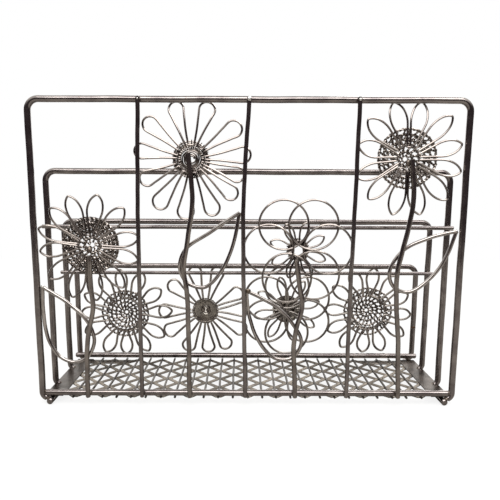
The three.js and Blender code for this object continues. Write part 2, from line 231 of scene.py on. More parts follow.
class Parts:
    """Collects points and faces, in millimetres, and turns them into one object."""

    def __init__(self):
        self.points = []
        self.faces = []
        self.marks = []

    def add(self, points, faces, marks=None):
        """Adds faces on new points. The marks say which material each face has, the first if not given."""
        start = len(self.points)
        self.points.extend(tuple(p) for p in points)
        self.faces.extend(tuple(start + i for i in face) for face in faces)
        self.marks.extend(marks or [0] * len(faces))

    def make(self, name, materials, replaced=()):
        """Makes the object, which rides on the rack's one body."""
        mesh = bpy.data.meshes.new(name)
        mesh.from_pydata([Vector(p) * MM for p in self.points], [], self.faces)
        for material in materials:
            mesh.materials.append(material)
        mesh.polygons.foreach_set("material_index", self.marks)
        mesh.update()
        shell = bmesh.new()
        shell.from_mesh(mesh)
        bmesh.ops.recalc_face_normals(shell, faces=shell.faces)
        shell.to_mesh(mesh)
        shell.free()
        mesh.shade_smooth()
        mesh.set_sharp_from_angle(angle=SHARP_EDGE)
        piece = bpy.data.objects.new(name, mesh)
        bpy.context.scene.collection.objects.link(piece)
        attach(piece, "root")
        if replaced:
            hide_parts(*replaced)
        return piece


def strips(rows, columns, closed):
    """Four-sided faces between rows of points, each row a ring. Closed joins the last row to the first."""
    faces = []
    for i in range(rows if closed else rows - 1):
        here = i * columns
        after = (i + 1) % rows * columns
        for j in range(columns):
            k = (j + 1) % columns
            faces.append((here + j, here + k, after + k, after + j))
    return faces


def directions(path, closed):
    """The unit direction of a path at each of its points."""
    if closed:
        tangent = np.roll(path, -1, axis=0) - np.roll(path, 1, axis=0)
    else:
        tangent = np.gradient(path, axis=0)
    return tangent / np.linalg.norm(tangent, axis=1, keepdims=True)


def cross_axes(tangent, up):
    """Two unit directions square to each tangent, the first as near to up as it can be."""
    side = np.asarray(up, float) - tangent * (tangent @ np.asarray(up, float))[:, None]
    side /= np.linalg.norm(side, axis=1, keepdims=True)
    return side, np.cross(tangent, side)


ROUNDED_EDGE = 0.3                           # how far a cut end is rounded, as a share of its radius
CUT_FACE = 0.72                              # radius of the flat of a cut end, as a share of the wire's


def tube(parts, path, radius, sides, closed=False, up=(0, 1, 0), end_marks=(0, 0)):
    """Adds a round wire along a path. An open wire has slightly rounded edges at its cut ends.

    The path mustn't run along up. The end marks say which material each cut end has.
    """
    path = np.asarray(path, float)
    radii = np.full(len(path), float(radius))
    if not closed:
        first = path[1] - path[0]
        last = path[-2] - path[-1]
        edge = ROUNDED_EDGE * radius
        first *= edge / np.linalg.norm(first)
        last *= edge / np.linalg.norm(last)
        path = np.vstack([path[:1], path[0] + first, path[1:-1], path[-1] + last, path[-1:]])
        radii = np.concatenate([[CUT_FACE * radius], radii, [CUT_FACE * radius]])
    side, other = cross_axes(directions(path, closed), up)
    turn = TAU * np.arange(sides) / sides
    ring = side[:, None] * np.cos(turn)[None, :, None] + other[:, None] * np.sin(turn)[None, :, None]
    points = (path[:, None] + ring * radii[:, None, None]).reshape(-1, 3)
    faces = strips(len(path), sides, closed)
    marks = [0] * len(faces)
    if not closed:
        faces.append(tuple(range(sides)))
        faces.append(tuple((len(path) - 1) * sides + j for j in range(sides)))
        marks += end_marks
    parts.add(points, faces, marks)


def spin(parts, profile, centre):
    """Adds a solid turned about the Y axis through centre, from a closed run of (radius, height) pairs."""
    segments = 64
    points = []
    for i in range(segments):
        turn = TAU * i / segments
        for radius, height in profile:
            points.append(centre + np.array([radius * math.cos(turn), height, radius * math.sin(turn)]))
    parts.add(points, strips(segments, len(profile), closed=True))


def bead(parts, centre, size, seed):
    """Adds a lumpy weld bead: a rounded blob with its own bumps."""
    centre = np.asarray(centre, float)
    rows, columns = 7, 12
    lumpiness = 0.22
    points = [centre + np.array([0, 0, size[2]])]
    for i in range(1, rows):
        tilt = math.pi * i / rows
        for j in range(columns):
            turn = TAU * j / columns
            ray = np.array([math.sin(tilt) * math.cos(turn), math.sin(tilt) * math.sin(turn), math.cos(tilt)])
            bump = noise.noise(Vector(ray * 1.7) + Vector((seed, 2.3 * seed, 0.7 * seed)))
            points.append(centre + ray * np.asarray(size) * (1 + lumpiness * bump))
    points.append(centre - np.array([0, 0, size[2]]))
    faces = [(0, 1 + j, 1 + (j + 1) % columns) for j in range(columns)]
    for i in range(rows - 2):
        for j in range(columns):
            a = 1 + i * columns + j
            b = 1 + i * columns + (j + 1) % columns
            faces.append((a, a + columns, b + columns, b))
    last = len(points) - 1
    start = last - columns
    faces += [(last, start + (j + 1) % columns, start + j) for j in range(columns)]
    parts.add(points, faces)


def smooth(pairs, y, per_span):
    """Places along a smooth curve through (x, z) pairs, at depth y (a centripetal Catmull-Rom curve)."""
    knots = np.array([[x, y, z] for x, z in pairs], float)
    knots = np.vstack([2 * knots[0] - knots[1], knots, 2 * knots[-1] - knots[-2]])
    gaps = np.sqrt(np.linalg.norm(np.diff(knots, axis=0), axis=1))
    places = []
    for i in range(1, len(knots) - 2):
        before, here, after = gaps[i - 1:i + 2]
        last, start, end, following = knots[i - 1:i + 3]
        leaving = (start - last) / before - (end - last) / (before + here) + (end - start) / here
        arriving = (end - start) / here - (following - start) / (here + after) + (following - end) / after
        for t in np.linspace(0, 1, per_span, endpoint=False):
            places.append((2 * t**3 - 3 * t**2 + 1) * start + (t**3 - 2 * t**2 + t) * (leaving * here)
                          + (-2 * t**3 + 3 * t**2) * end + (t**3 - t**2) * (arriving * here))
    places.append(knots[-2])
    return np.array(places)


def around(centre, radius, turn, y):
    """A place at depth y, this far and at this angle from a centre in the X and Z plane."""
    return (centre[0] + radius * math.cos(turn), y, centre[2] + radius * math.sin(turn))


def arc(centre_x, centre_z, radius, start, end, steps, y):
    """Places along an arc from the angle start to the angle end."""
    return [around((centre_x, y, centre_z), radius, turn, y) for turn in np.linspace(start, end, steps + 1)]


def straight(start, end, steps):
    """Evenly spaced places from start to end."""
    start = np.array(start)
    return [start + (np.array(end) - start) * t for t in np.linspace(0, 1, steps + 1)]


def waver(path, amount, length, seed):
    """Moves a path a little off true in X and Z, as wire that was bent by hand."""
    path = np.asarray(path, float)
    run = np.concatenate([[0], np.cumsum(np.linalg.norm(np.diff(path, axis=0), axis=1))])
    for axis, phase in ((0, 1.3), (2, 4.1)):
        long_wave = np.sin(TAU * run / length + phase + seed)
        short_wave = 0.5 * np.sin(TAU * run / (0.43 * length) + 2 * seed)
        path[:, axis] += amount * (long_wave + short_wave)
    return path


# ---- frame -----------------------------------------------------------------------------------------

def build_hoop(name):
    """A foot bent in to the runner, a post, a corner, the top rail and back down."""
    y = middle(name)[1]
    top = corners(name)[1][2] - FRAME_R - CORNER_R
    foot_x = HALF - FRAME_R - FOOT_R
    corner_x = HALF - FRAME_R - CORNER_R
    half = [
        *arc(foot_x, FOOT_Z, FOOT_R, -FOOT_TURN, 0, 8, y),
        *straight((HALF - FRAME_R, y, FOOT_Z + 4), (HALF - FRAME_R, y, top - 4), 24),
        *arc(corner_x, top, CORNER_R, 0, math.pi / 2, 12, y),
    ]
    rail_z = top + CORNER_R
    rail = straight((corner_x - 6, y, rail_z), (6 - corner_x, y, rail_z), 40)
    mirrored = [(-p[0], p[1], p[2]) for p in reversed(half)]
    parts = Parts()
    tube(parts, waver([*half, *rail, *mirrored], amount=0.09, length=74, seed=y), FRAME_R, 20)
    parts.make(f"{name}_wire", [FRAME_COAT], [name])


def build_rod(name, axis, amount):
    """A straight wire that fills a CAD node's box along one axis, and wavers by the amount given."""
    low, high = corners(name)
    centre = (low + high) / 2
    radius = (high[2] - low[2]) / 2
    start, end = centre.copy(), centre.copy()
    start[axis], end[axis] = low[axis], high[axis]
    parts = Parts()
    path = waver(straight(start, end, 48), amount, length=90, seed=centre[2])
    tube(parts, path, radius, 20, up=(0, 0, 1))
    parts.make(f"{name}_wire", [FRAME_COAT], [name])


BARS = {
    "bar_1": [(-78.3, 228.6), (-80, 155), (-80.3, 82), (-80.3, 7)],
    "bar_2": [(0.2, 228.6), (-3.6, 156), (-3.1, 83), (-1.6, 7)],
    "bar_3": [(77.9, 228.6), (76.9, 150), (75.8, 91), (75.4, 7)],
}


def build_bar(name, pairs):
    """An upright bar of the tall panel, slightly bent. Its cut top end is bright."""
    parts = Parts()
    path = waver(smooth(pairs, middle(name)[1], 24), amount=0.1, length=47, seed=5)
    tube(parts, path, BAR_R, 16, end_marks=(1, 0))
    parts.make(f"{name}_wire", [FRAME_COAT, BRIGHT_CUT], [name])


# ---- stems and leaves ------------------------------------------------------------------------------

STEMS = {
    "stem_a": [(-116.6, 116), (-116.2, 95), (-115.4, 76), (-118.6, 60), (-121, 44), (-121.4, 25),
               (-121.5, 7)],
    "stem_b": [(-43.5, 190), (-41, 168), (-41, 150), (-45, 124), (-47.4, 108), (-45.3, 88), (-44.3, 50),
               (-44.1, 7)],
    "stem_c": [(35.6, 113), (38.4, 92), (40.3, 78), (36.6, 62), (34.5, 48), (35.6, 27), (36.1, 7)],
    "stem_d": [(116.6, 186), (119, 157), (117.4, 142), (112.4, 118), (109.6, 98), (113, 50), (114.8, 7)],
}

# Each leaf's upper edge from its tip to the stem, and its lower edge from the stem back to its tip.
LEAVES = {
    "leaf_a": ([(-153.2, 92), (-136, 80.6), (-121, 66), (-116, 51)],
               [(-122.5, 37), (-132.5, 33.6), (-142.4, 37.8), (-150.2, 50), (-153.6, 71), (-153.2, 92)]),
    "leaf_b": ([(-6.4, 147.4), (-26.5, 134), (-46, 120.4), (-50.8, 108)],
               [(-46, 96), (-33, 91.8), (-19, 105.4), (-10.4, 127.2), (-6.4, 147.4)]),
    "leaf_c": ([(-1, 89.6), (21.4, 77.2), (34.4, 63.4), (40.6, 50)],
               [(34, 37.6), (20.6, 37.4), (8.2, 51), (0.8, 71), (-1, 89.6)]),
    "leaf_d": ([(153.2, 134.4), (133.4, 129.6), (113.7, 119.4), (105, 104.4)],
               [(109, 92.4), (120.4, 89), (135.6, 99), (147, 116.4), (153.2, 134.4)]),
}


def build_stem(name, pairs, seed):
    """A flower's stem, from its hub down to the front rail."""
    parts = Parts()
    path = waver(smooth(pairs, middle(name)[1], 12), amount=0.12, length=38, seed=seed)
    tube(parts, path, STEM_R, 16)
    parts.make(f"{name}_wire", [FLOWER_COAT], [name])


def build_leaf(name, upper, lower, seed):
    """One loop of wire, whose two ends lie side by side at the tip."""
    loop = smooth([*upper, *lower], middle(name)[1], 10)
    loop[:, 1] += np.linspace(-0.5, 0.5, len(loop))
    parts = Parts()
    tube(parts, waver(loop, amount=0.1, length=33, seed=seed), LEAF_R, 14, end_marks=(1, 1))
    parts.make(f"{name}_wire", [LEAF_HIGHLIGHT_COAT, BRIGHT_CUT], [name])


# ---- flowers ---------------------------------------------------------------------------------------

# Half a petal's outline: how far out, and how much of the full half width.
POINTED = [(0, 0), (0.3, 0.52), (0.6, 0.97), (0.82, 0.85), (0.95, 0.42), (1, 0)]
DROP = [(0, 0), (0.35, 0.36), (0.66, 0.78), (0.86, 1), (0.965, 0.62), (1, 0)]

# Petals run from the radius "inner" to the radius "petal" plus their own "tip". Directions are in degrees.
ROUND_FLOWERS = {
    "a": {
        "inner": 8, "petal": 38.8, "width": 5.1, "shape": POINTED,
        "directions": [111, 80, 46, 11, -17, -52, -84, -111, -141, -174, 161, 136],
        "tip": [0, -1, -1, -2, -2, 0.4, 2, 2, 0, -2.2, 0, 0],
    },
    "b": {
        "inner": 10, "petal": 42, "width": 5.4, "shape": DROP,
        "directions": [107, 71, 35, 4, -18, -40, -67, -96, -127, -156, 171, 140],
        "tip": [0, 0, 1, 1, -2, 0.6, 1.6, 1.4, 1.4, -2, -1, 1],
    },
    "d": {
        "inner": 8, "petal": 40.2, "width": 5.3, "shape": POINTED,
        "directions": [106, 76, 45, 15, -14, -44, -76, -103, -134, -160, 166, 137],
        "tip": [0.6, 0.6, 1.6, -1, -0.8, 1, 1, 1, -0.4, -1.6, -3, 0],
    },
    "e": {
        "inner": 15.8, "petal": 41.6, "width": 5.3, "shape": POINTED,
        "directions": [94, 66, 34, 4, -30, -59, -88, -118, -154, 178, 153, 122],
        "tip": [0.6, 1, 0, 3, 1, 0.4, -2.8, 0, 0.4, -1, 0, 0.6],
    },
    "f": {
        "inner": 11, "petal": 43, "width": 6, "shape": DROP,
        "directions": [105, 72, 30, 3, -27, -58, -86, -115, -151, 180, 141],
        "tip": [1, 1, -3, -4, 0, -0.8, -3, -0.6, 1, 1, 1],
    },
    "h": {
        "inner": 15.8, "petal": 41.2, "width": 5.3, "shape": POINTED,
        "directions": [85, 54, 25, -3, -34, -68, -97, -126, -154, 176, 145, 113],
        "tip": [1, 1, -0.6, -1, 0, -1, -2, 1, 0.8, 0.6, 0.6, 1],
    },
}
# Flowers of six wire rings, each with a small rosette of evenly spaced petals inside them.
RING_FLOWERS = {
    "c": {
        "ring": 18.2, "offset": 22, "turns": [120, 60, 3, -56, -112, 177],
        "inner": 4.4, "petal": 21.4, "width": 3, "turn_inner": 27, "shape": POINTED,
    },
    "g": {
        "ring": 20.4, "offset": 22.2, "turns": [30, 90, 150, 210, 270, 330],
        "inner": 8.4, "petal": 31.4, "width": 3.7, "turn_inner": 13, "shape": POINTED,
    },
}
INNER_PETALS = 8
PETAL_GAP = 1.0                              # half the space between a petal's two wires at the hub
BEHIND_RAIL = 5.4                            # how far petals that cross the top rail lean back
RAIL_MARGIN = 1.5                            # how near the top rail a petal has to come to lean back
FAR_PETAL_R = 1.35 * PETAL_R                 # the short panel's flowers are of slightly thicker wire

# Each petal differs a little, as it was bent by hand: in width (a share), in lean and in depth.
WIDTH_SPREAD = 0.06
LEAN_SPREAD = 0.5
DEPTH_SPREAD = 0.25


def petal_path(flower, centre, direction, tip, seed):
    """One looped petal, from one inner end round the tip to the other."""
    reach = flower["petal"] + tip
    width = flower["width"] * (1 + WIDTH_SPREAD * math.sin(5.1 * seed))
    lean = LEAN_SPREAD * math.sin(3.7 * seed)
    shape = flower["shape"]
    outline = [(u, v, 1) for u, v in shape] + [(u, v, -1) for u, v in reversed(shape[:-1])]
    pairs = []
    for u, v, side in outline:
        along = flower["inner"] + (reach - flower["inner"]) * u
        pairs.append((along, side * (width * v + PETAL_GAP * (1 - u)) + lean * u**2))
    turn = math.radians(direction)
    crosses = centre[2] + reach * math.sin(turn) > TOP - 2 * FRAME_R - RAIL_MARGIN
    places = []
    for along, _, across in smooth(pairs, 0, 5):
        lift = DEPTH_SPREAD * math.sin(math.pi * along / reach) * math.sin(2.9 * seed)
        if crosses:
            lift += BEHIND_RAIL * (along / reach) ** 4
        places.append((
            centre[0] + along * math.cos(turn) - across * math.sin(turn),
            centre[1] + lift,
            centre[2] + along * math.sin(turn) + across * math.cos(turn),
        ))
    return places


def rosette(name, flower, centre, radius, coat):
    """Looped petals bent from one wire, which turns back near the hub between two petals."""
    path = []
    for i, (direction, tip) in enumerate(zip(flower["directions"], flower["tip"])):
        path += petal_path(flower, centre, direction, tip, i + centre[0] * 0.1)
    parts = Parts()
    tube(parts, path, radius, 8)
    parts.make(f"{name}_wire", [coat], [name])


def flower_centre(letter, petals):
    """The hub's middle in X and Z, at the depth of the petals."""
    x, _, z = middle(f"hub_{letter}")
    return np.array([x, middle(petals)[1], z])


def petal_wire(letter):
    """Radius and coat of a flower's petal wire. The short panel's coat is a lighter copy of the same pewter,
    with painted light.
    """
    if letter in "abcd":
        return PETAL_R, FLOWER_COAT
    return FAR_PETAL_R, FAR_LIT_COAT


def build_round_flower(letter, flower):
    """The looped petals round a hub."""
    name = f"petals_{letter}"
    rosette(name, flower, flower_centre(letter, name), *petal_wire(letter))


def build_ring_flower(letter, flower):
    """Six slightly oval wire rings round a hub, and a small rosette inside them."""
    name = f"petals_{letter}"
    centre = flower_centre(letter, name)
    radius, coat = petal_wire(letter)
    parts = Parts()
    for i, degrees in enumerate(flower["turns"]):
        middle_x, _, middle_z = around(centre, flower["offset"], math.radians(degrees), centre[1])
        oval = 1 + 0.012 * math.sin(3 * i)
        ring = [(
            middle_x + flower["ring"] * oval * math.cos(t),
            centre[1] + 0.55 * math.sin(t * 2 + i),
            middle_z + flower["ring"] / oval * math.sin(t),
        ) for t in np.linspace(0, TAU, 64, endpoint=False)]
        tube(parts, ring, radius, 8, closed=True)
    parts.make(f"{name}_wire", [coat], [name])

    inner = f"inner_petals_{letter}"
    small = {
        **flower,
        "directions": [flower["turn_inner"] - 360 // INNER_PETALS * i for i in range(INNER_PETALS)],
        "tip": [0] * INNER_PETALS,
    }
    rosette(inner, small, flower_centre(letter, inner), 0.9 * radius, coat)


# ---- hubs ------------------------------------------------------------------------------------------

# Each band of a woven hub is its outer radius, its number of cells and how thick its struts are. The rings
# between the bands are of the thread's radius.
WOVEN_HUBS = {
    "a": {"thread": 0.74, "bands": [(20.2, 36, 0.8), (16.8, 32, 0.84), (13.4, 26, 0.8), (10, 16, 0.62),
                                    (5.6, 8, 0.5)]},
    "d": {"thread": 0.62, "bands": [(20.9, 26, 0.55), (17.2, 28, 0.72), (13.6, 22, 0.72), (9.6, 13, 0.66),
                                    (5, 8, 0.55)]},
    "e": {"thread": 0.62, "bands": [(21.7, 28, 0.62), (17.8, 25, 0.62), (13.8, 20, 0.62), (9.8, 15, 0.62),
                                    (5.6, 9, 0.6)]},
    "h": {"thread": 0.62, "bands": [(22.3, 28, 0.62), (18.3, 25, 0.62), (14.2, 20, 0.62), (10, 15, 0.62),
                                    (5.8, 9, 0.6)]},
}
DOME_RISE = 6                                # height of a woven hub's dome
DOME_HOLE = 1.6                              # radius of the hole in a woven hub's middle

# Each cup's height over its radius, both as shares, and its number of wound rings.
CUPS = {
    "f": ([(0, 0.94), (0.2, 0.96), (0.3, 1), (0.4, 0.95), (0.62, 0.62), (0.8, 0.32), (1, 0)], 12),
    "g": ([(0, 1), (0.12, 0.97), (0.3, 0.76), (0.5, 0.52), (0.7, 0.3), (0.84, 0.16), (1, 0)], 13),
}
RIDGE = 0.28                                 # height of a cup's rings of wire
CUP_WALL = 0.9
COIL_WIRE_R = 0.62
WINDING_R = 0.48
COIL_STITCH_R = 0.42
CUP_STITCH_R = 0.4


def hub_place(letter):
    """A hub's CAD name, lowest corner, middle and radius."""
    name = f"hub_{letter}"
    low, high = corners(name)
    return name, low, middle(name), (high[2] - low[2]) / 2


def twisted(parts, path, thread, turns, closed=False):
    """Adds two threads of wire wound round each other along a path."""
    path = np.asarray(path, float)
    side, other = cross_axes(directions(path, closed), (0, 1, 0))
    count = len(path) if closed else len(path) - 1
    wind = TAU * turns * np.arange(len(path)) / count
    off_middle = 0.85 * thread
    for phase in (0, math.pi):
        shift = side * np.cos(wind + phase)[:, None] + other * np.sin(wind + phase)[:, None]
        tube(parts, path + off_middle * shift, thread, 6, closed)


def build_woven_hub(letter, thread, bands):
    """A dome of wire lace: rings of twisted wire, with leaning struts between each two rings."""
    name, low, centre, reach = hub_place(letter)
    back = low[1] + 2 * thread

    def on_dome(radius, turn, lift):
        return around(centre, radius, turn, back + DOME_RISE * (1 - (radius / reach) ** 2) + lift)

    ripple = 0.22                            # of a ring's radius, once for each cell
    ruffle = 0.3                             # of a ring's depth, seven times round
    over = 0.25                              # the struts lie this far over the rings
    parts = Parts()
    for radius, cells, _ in bands:
        wave = rng.uniform(0, TAU)
        path = [on_dome(radius + ripple * math.sin(cells * t + wave), t, ruffle * math.sin(7 * t + wave))
                for t in np.linspace(0, TAU, 5 * cells, endpoint=False)]
        twisted(parts, path, thread, cells, closed=True)
    inner_radii = [radius for radius, _, _ in bands[1:]] + [DOME_HOLE]
    for (outer, cells, thick), inner in zip(bands, inner_radii):
        shift = rng.uniform(0, TAU)
        for i in range(cells):
            turn = TAU * (i + rng.uniform(-0.12, 0.12)) / cells + shift
            lean = TAU / cells * rng.uniform(0.2, 0.5)
            path = [on_dome(outer + (inner - outer) * u, turn + lean * u, over) for u in np.linspace(0, 1, 7)]
            twisted(parts, path, thick, 1)
    parts.make(f"{name}_net", [HUB_COAT], [name])


def add_stitch(parts, centre, turn, depth, steps, radius):
    """A short wire along a hub's radius. Each step is how far out it is and how far behind the depth."""
    tube(parts, [around(centre, r, turn, depth + lift) for r, lift in steps], radius, 6)


def stitch_turns(count):
    """Angles round a hub, evenly spaced but a little uneven."""
    return (TAU * (i + rng.uniform(-0.2, 0.2)) / count for i in range(count))


def build_coil_hub(letter):
    """A flat spiral of wire, stitched to the petals at its rim."""
    name, low, centre, reach = hub_place(letter)
    coils = 9
    start = 2                                # radius of the spiral's inner end
    unevenness = 0.15
    bulge = 1.2                              # how far the middle lies behind the rim
    depth = low[1] + 0.7
    path = []
    for t in np.linspace(0, TAU * coils, 60 * coils):
        radius = start + (reach - start) * t / (TAU * coils) + unevenness * math.sin(2.3 * t)
        path.append(around(centre, radius, t, depth + bulge * (1 - radius / reach)))
    parts = Parts()
    tube(parts, path, COIL_WIRE_R, 8)
    for turn in stitch_turns(32):
        for near, far in ((reach - 3.6, reach + 0.3), (reach - 5.8, reach - 4.1)):
            steps = ((near, 0.2), (near + 0.3, -0.7), (far - 0.3, -0.7), (far, 0.2))
            add_stitch(parts, centre, turn, depth, steps, COIL_STITCH_R)
    parts.make(f"{name}_coil", [HUB_COAT], [name])


def build_ring_hub(letter):
    """A ring wound with a close coil of wire."""
    name, _, centre, reach = hub_place(letter)
    hole = 3.6                               # radius of the hole in its middle
    windings = 27
    core = (reach + hole) / 2
    swell = (reach - hole) / 2 - 0.4         # radius of the winding round the core
    unevenness = 0.12
    parts = Parts()
    ring = [around(centre, core, t, centre[1]) for t in np.linspace(0, TAU, 60, endpoint=False)]
    tube(parts, ring, swell - 0.5, 14, closed=True)
    path = []
    for t in np.linspace(0, TAU, windings * 14, endpoint=False):
        curl = windings * t
        wide = swell * (1 + unevenness * math.sin(5 * t))
        path.append(around(centre, core + wide * math.cos(curl), t, centre[1] + wide * math.sin(curl)))
    tube(parts, path, WINDING_R, 7, closed=True)
    parts.make(f"{name}_coil", [HUB_COAT], [name])


def build_cup(letter, profile, rings):
    """A cup wound from close rings of wire, seen hollow from the tall panel's side, stitched at its rim."""
    name, low, centre, reach = hub_place(letter)
    centre[1] = low[1]
    rise = corners(name)[1][1] - low[1] - CUP_WALL - RIDGE
    shares = np.linspace(0.02, 1, 2 * rings + 1)
    heights = rise * np.interp(shares, *zip(*profile)) + RIDGE * (np.arange(len(shares)) % 2)
    near = [(share * reach, height) for share, height in zip(shares, heights)]
    far = [(radius, height + CUP_WALL) for radius, height in reversed(near)]
    parts = Parts()
    spin(parts, [*near, *far], centre)
    steps = ((reach - 2, 0.4), (reach - 1.5, -0.3), (reach - 0.3, -0.5), (reach + 0.4, 0.3))
    for turn in stitch_turns(20):
        add_stitch(parts, centre, turn, low[1], steps, CUP_STITCH_R)
    parts.make(f"{name}_cup", [CUP_HIGHLIGHT_COAT], [name])


# ---- base ------------------------------------------------------------------------------------------

PITCH = 11.2                                 # half a diamond's width
ROW = 10.15                                  # half a diamond's depth
ROWS = 9
COLUMNS = 12                                 # on each side of the middle
SHEET_START = FRONT + 2.6
SHEET_END = FRONT + 94
MESH_Z = 5.0
MESH_THICKNESS = 0.8
STRAND_WIDTH = 2.3
STRAND_TILT = math.radians(22)
FLAT = 1.5                                   # half the length over which two strands join
JOIN_OFFSET = 0.5                            # how far a strand's middle lies off the middle of a join
BASE_WIRE_R = 0.9
MARGIN_INNER = 143                           # the side margins reach from here
MARGIN_OUTER = 157.2                         # to here
MARGIN_Z = 5.65
MARGIN_THICKNESS = 0.9
SOLID_CORNER = 98                            # the sheet's rear corners are uncut beyond this


def strand_section():
    """The four corners of a strand's tilted section, as widths and heights from its middle."""
    half_w = STRAND_WIDTH / 2
    half_t = MESH_THICKNESS / 2
    cos, sin = math.cos(STRAND_TILT), math.sin(STRAND_TILT)
    level = ((-half_w, -half_t), (half_w, -half_t), (half_w, half_t), (-half_w, half_t))
    return [(w * cos - t * sin, w * sin + t * cos) for w, t in level]


def strand_row(parts, row):
    """One zigzag strand of the expanded metal, tilted the same way all along."""
    path = []
    for column in range(-COLUMNS - 1, COLUMNS + 2):
        low = (row + column) % 2 == 0
        x = column * PITCH
        y = SHEET_START + ROW * (row if low else row + 1) + (JOIN_OFFSET if low else -JOIN_OFFSET)
        path += [(x - FLAT, y), (x + FLAT, y)]
    path = [(x, y) for x, y in path if abs(x) <= MARGIN_INNER + FLAT]
    points = []
    for i, (x, y) in enumerate(path):
        before = path[max(i - 1, 0)]
        after = path[min(i + 1, len(path) - 1)]
        run = np.array([after[0] - before[0], after[1] - before[1]])
        run /= np.linalg.norm(run)
        sag = 0.12 * math.sin(1.7 * i + row)
        for across, height in strand_section():
            points.append((x - run[1] * across, y + run[0] * across, MESH_Z + height + sag))
    faces = strips(len(path), 4, closed=False)
    faces.append((0, 1, 2, 3))
    last = 4 * (len(path) - 1)
    faces.append((last, last + 1, last + 2, last + 3))
    parts.add(points, faces)


def slab(parts, side, outline, middle_z, thickness):
    """Adds a flat plate with the given outline in X and Y, on the right (1) or mirrored to the left (-1)."""
    count = len(outline)
    heights = (middle_z + thickness / 2, middle_z - thickness / 2)
    points = [(side * x, y, z) for z in heights for x, y in outline]
    faces = [tuple(range(count)), tuple(range(count, 2 * count))]
    faces += [(i, (i + 1) % count, count + (i + 1) % count, count + i) for i in range(count)]
    parts.add(points, faces)


def margin_outline():
    """The right margin's outline, with half-round notches round the posts of hoops 2 and 3."""
    notch = FRAME_R + 0.4
    outline = [(MARGIN_INNER, SHEET_START), (MARGIN_OUTER, SHEET_START)]
    for name in HOOPS[1:3]:
        y = middle(name)[1]
        for turn in np.linspace(-math.pi / 2, -3 * math.pi / 2, 9):
            outline.append((MARGIN_OUTER + notch * math.cos(turn), y + notch * math.sin(turn)))
    return [*outline, (MARGIN_OUTER, SHEET_END), (MARGIN_INNER, SHEET_END)]


def corner_outline():
    """The uncut rear right corner of the sheet, which runs in under the margin."""
    rear = SHEET_START + (ROWS - 1) * ROW
    return [(SOLID_CORNER, SHEET_START + ROWS * ROW), (SOLID_CORNER + PITCH, rear), (MARGIN_INNER + 1, rear),
            (MARGIN_INNER + 1, SHEET_END)]


def build_margins():
    """The two plain strips along the sides of the sheet."""
    parts = Parts()
    for side in (-1, 1):
        slab(parts, side, margin_outline(), MARGIN_Z, MARGIN_THICKNESS)
    parts.make("base_mesh_margins", [MARGIN_COAT], ["base_mesh"])


def build_base_wires():
    """Thin wires from front to back over the diamonds, at slightly uneven spaces."""
    low, high = corners("base_mesh")
    parts = Parts()
    for column in range(-COLUMNS, COLUMNS + 1):
        x = column * PITCH + rng.uniform(-0.25, 0.25)
        path = [(x + 0.15 * math.sin(0.09 * y + column), y, high[2] - BASE_WIRE_R)
                for y in np.linspace(low[1], high[1], 24)]
        tube(parts, path, BASE_WIRE_R, 8, up=(0, 0, 1))
    parts.make("base_mesh_wires", [WIRE_COAT], ["base_mesh"])


def build_sheet():
    """The expanded metal's strands and its two uncut corners, with their edges slightly rolled."""
    parts = Parts()
    for row in range(ROWS):
        strand_row(parts, row)
    for side in (-1, 1):
        slab(parts, side, corner_outline(), MESH_Z, MESH_THICKNESS)
    piece = parts.make("base_mesh_sheet", [MESH_COAT], ["base_mesh"])
    soften = piece.modifiers.new("rolled_edges", "BEVEL")
    soften.width = 0.12 * MM
    soften.segments = 1
    soften.limit_method = "ANGLE"


# ---- welds -----------------------------------------------------------------------------------------

FACE = FRONT - FRAME_R                       # the tall panel's front face


def build_frame_welds():
    """Weld beads where the wires of the frame and the stems meet, and at the tops of two stems."""
    parts = Parts()
    front_z = middle("front_rail")[2]
    seeds = itertools.count(1)
    for (top_x, _), *_, (foot_x, _) in BARS.values():
        seed = next(seeds)
        bead(parts, (top_x, FACE - 0.4, TOP - FRAME_R), (1.9, 1.1, 1.6), seed)
        bead(parts, (foot_x, FACE - 0.4, front_z), (1.9, 1.1, 1.9), seed + 0.5)
    for *_, (foot_x, _) in STEMS.values():
        bead(parts, (foot_x, FACE - 0.4, front_z), (2.1, 1.2, 2), next(seeds))
    for crossbar, hoop in (("crossbar_2", "hoop_2"), ("crossbar_3", "hoop_3")):
        y = middle(hoop)[1] - FRAME_R
        for side in (-1, 1):
            bead(parts, (side * (HALF - FRAME_R), y, middle(crossbar)[2]), (1.9, 0.9, 1.9), next(seeds))
    for hoop in HOOPS:
        for side in (-1, 1):
            foot = (side * (HALF - FRAME_R - FOOT_R + 1.2), middle(hoop)[1], 4.9)
            bead(parts, foot, (2.1, 2.4, 1.7), next(seeds))
    for side in (-1, 1):
        seed = next(seeds)
        rear_end = (side * (HALF - FRAME_R), BACK - FRAME_R, middle("rear_rail")[2])
        bead(parts, (side * (HALF - 2 * FRAME_R), FRONT, front_z), (1, 2.2, 2.2), seed)
        bead(parts, rear_end, (2, 1, 2), seed)
    for letter in "ad":
        x, _, z = middle(f"hub_{letter}")
        bead(parts, (x, FACE + 0.4, z - 3), (2, 1.6, 2.2), seed + ord(letter))
    parts.make("frame_welds", [WELD_COAT])


def build_ground_ends():
    """Bright ends of wire, ground off at the top rail and at the first leaf's tip."""
    parts = Parts()
    for name, size in (("bar_1", 0.7), ("bar_2", 1.5), ("bar_3", 1.1)):
        x, z = BARS[name][0]
        bead(parts, (x, FACE - 2 * BAR_R, z - 1.8), (size, 0.7, size), 7.7 + size)
    x, z = LEAVES["leaf_a"][0][0]
    bead(parts, (x + 0.6, FACE - 0.2, z + 0.4), (1.3, 0.9, 1.1), 9.1)
    parts.make("ground_ends", [BRIGHT_CUT])


